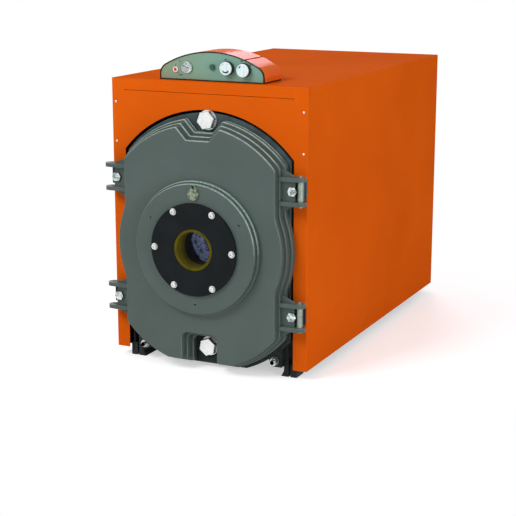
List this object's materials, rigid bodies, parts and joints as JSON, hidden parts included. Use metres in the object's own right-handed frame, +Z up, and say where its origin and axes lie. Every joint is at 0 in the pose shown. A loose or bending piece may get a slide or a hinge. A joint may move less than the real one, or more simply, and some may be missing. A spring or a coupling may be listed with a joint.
{
  "type": "industrial boiler",
  "caption": "Cast-iron sectional hot-water boiler in an orange sheet jacket, with a hinged burner door, hexagon port plugs and an arched control panel on top.",
  "frame": {"origin": "on the floor under the middle of the whole boiler's box", "axes": "+Y runs from the front door to the flue, +X to the right seen from the front, +Z up"},
  "size_m": [0.7858, 1.613, 1.138],
  "materials": {
    "orange_sheet": "gloss stove enamel on sheet steel",
    "door_grey": "satin grey-green paint on rough cast iron",
    "casting_black": "bare dark cast iron",
    "black_plate": "matt black paint on steel plate",
    "bare_steel": "zinc plated, slightly dull",
    "throat_olive": "heat-stained olive, satin",
    "refractory": "rough cast insulating concrete",
    "rope": "braided glass rope",
    "fascia_green": "satin grey-green",
    "knob_pale": "pale glossy plastic",
    "gauge_white": "white dial under a clear cover",
    "red_button": "red button",
    "green_switch": "dark green",
    "galvanised": "galvanised steel tube",
    "sight_glass": "clear",
    "cover_olive": "olive-grey metal"
  },
  "bodies": {
    "boiler": {"front_panel": "orange_sheet", "top_panel": "orange_sheet", "left_panel": "orange_sheet", "right_panel": "orange_sheet", "rear_panel": "orange_sheet", "control_hood": "orange_sheet", "panel_screws": "bare_steel", "corner_brackets": "black_plate", "control_fascia": "fascia_green", "temperature_gauge": "gauge_white", "reset_button": "red_button", "mode_switch": "green_switch", "front_section": "door_grey", "rear_section": "casting_black", "tie_rods": "bare_steel", "top_port_plug": "bare_steel", "bottom_port_plug": "bare_steel", "flue_box": "casting_black", "flue_collar": "galvanised", "flow_connection": "black_plate", "return_connection": "black_plate", "upper_hinge_pin": "bare_steel", "lower_hinge_pin": "bare_steel", "middle_section_1": "casting_black", "middle_section_2": "casting_black", "middle_section_3": "casting_black", "middle_section_4": "casting_black", "middle_section_5": "casting_black", "middle_section_6": "casting_black", "middle_section_7": "casting_black", "middle_section_8": "casting_black"},
    "door": {"door_casting": "door_grey", "door_refractory": "refractory", "door_seal_rope": "rope", "burner_plate": "black_plate", "plate_bolts": "bare_steel", "throat_ring": "throat_olive", "closing_bolts": "bare_steel", "sight_glass": "sight_glass", "sight_pivot": "bare_steel"},
    "sight_cover": {"sight_cover": "cover_olive"},
    "thermostat_knob": {"thermostat_knob": "knob_pale"},
    "limit_knob": {"limit_knob": "knob_pale"}
  },
  "joints": [
    {"name": "door_hinge", "type": "hinge", "parent": "boiler", "child": "door", "pos_m": [0.372, -0.7135, 0.4635], "axis": [0, 0, 1], "range_deg": [0, 110]},
    {"name": "sight_cover_swing", "type": "hinge", "parent": "door", "child": "sight_cover", "pos_m": [0, -0.789, 0.686], "axis": [0, 1, 0], "range_deg": [-100, 100]},
    {"name": "thermostat_turn", "type": "hinge", "parent": "boiler", "child": "thermostat_knob", "pos_m": [0.064, -0.655, 1.0835], "axis": [0, 1, 0], "range_deg": [0, 270]},
    {"name": "limit_turn", "type": "hinge", "parent": "boiler", "child": "limit_knob", "pos_m": [0.129, -0.655, 1.079], "axis": [0, 1, 0], "range_deg": [0, 270]}
  ]
}
